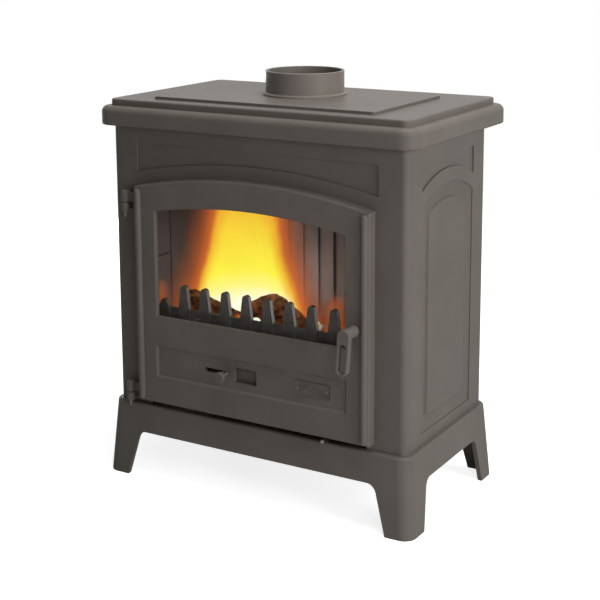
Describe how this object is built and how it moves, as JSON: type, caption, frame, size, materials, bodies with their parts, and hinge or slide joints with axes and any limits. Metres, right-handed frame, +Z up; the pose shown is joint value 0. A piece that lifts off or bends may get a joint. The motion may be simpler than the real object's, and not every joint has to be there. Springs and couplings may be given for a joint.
{
  "type": "wood burning stove",
  "caption": "Freestanding cast-iron wood burning stove with an arched glass door, lever latch, sliding air control, riddling grate, ash pan, flared leg stand and top flue collar.",
  "frame": {"origin": "on the floor, in the middle of the four feet", "axes": "+Z up, the door faces -Y, +X to the right of someone who faces the door"},
  "size_m": [0.61, 0.411, 0.7225],
  "materials": {
    "stove_paint": "matt warm grey stove paint",
    "bare_cast_iron": "sooted as-cast iron",
    "mild_steel": "dull mild steel",
    "sheet_steel": "black painted sheet steel",
    "zinc_steel": "zinc plated",
    "firebrick": "sooted firebrick",
    "log_wood": "charred split firewood",
    "rope_seal": "woven ceramic fibre",
    "stove_glass": "clear heat-proof glass",
    "badge_metal": "blank grey plate"
  },
  "bodies": {
    "stove_body": {"base_stand": "stove_paint", "front_frame": "stove_paint", "right_side_panel": "stove_paint", "left_side_panel": "stove_paint", "back_panel": "stove_paint", "top_plate": "stove_paint", "hob_plate": "stove_paint", "flue_collar": "stove_paint", "collar_bolts": "zinc_steel", "collar_nuts": "zinc_steel", "firebed_plate": "bare_cast_iron", "log_guard": "bare_cast_iron", "right_liner": "firebrick", "left_liner": "firebrick", "back_liner": "firebrick", "baffle_plate": "bare_cast_iron", "ash_pan": "sheet_steel", "tie_rods": "mild_steel", "tie_nuts": "zinc_steel", "log_left": "log_wood", "log_right": "log_wood", "hinge_brackets": "stove_paint", "hinge_nuts": "zinc_steel", "hinge_pins": "mild_steel", "latch_keeper": "mild_steel", "keeper_screws": "zinc_steel"},
    "door": {"door_frame": "stove_paint", "door_rope": "rope_seal", "window_glass": "stove_glass", "glass_gasket": "rope_seal", "glass_clips": "mild_steel", "door_screws": "zinc_steel", "slide_rails": "mild_steel", "blank_plate": "badge_metal", "plate_rivets": "zinc_steel", "handle_bush": "mild_steel"},
    "handle": {"door_handle": "stove_paint", "handle_spindle": "mild_steel", "latch_tongue": "mild_steel", "spindle_nut": "zinc_steel"},
    "air_control": {"air_slide": "mild_steel", "air_knob": "stove_paint"},
    "riddler": {"riddling_grate": "bare_cast_iron", "riddling_link": "mild_steel", "riddling_rod": "mild_steel"}
  },
  "joints": [
    {"name": "door_swing", "type": "hinge", "parent": "stove_body", "child": "door", "pos_m": [-0.25, -0.165, 0.3275], "axis": [0, 0, -1], "range_deg": [0, 120]},
    {"name": "handle_turn", "type": "hinge", "parent": "door", "child": "handle", "pos_m": [0.204, -0.17, 0.337], "axis": [0, 1, 0], "range_deg": [0, 90]},
    {"name": "air_slide", "type": "slide", "parent": "door", "child": "air_control", "axis": [-1, 0, 0], "range_m": [0, 0.043]},
    {"name": "riddle_pull", "type": "slide", "parent": "stove_body", "child": "riddler", "axis": [0, -1, 0], "range_m": [0, 0.02]}
  ]
}
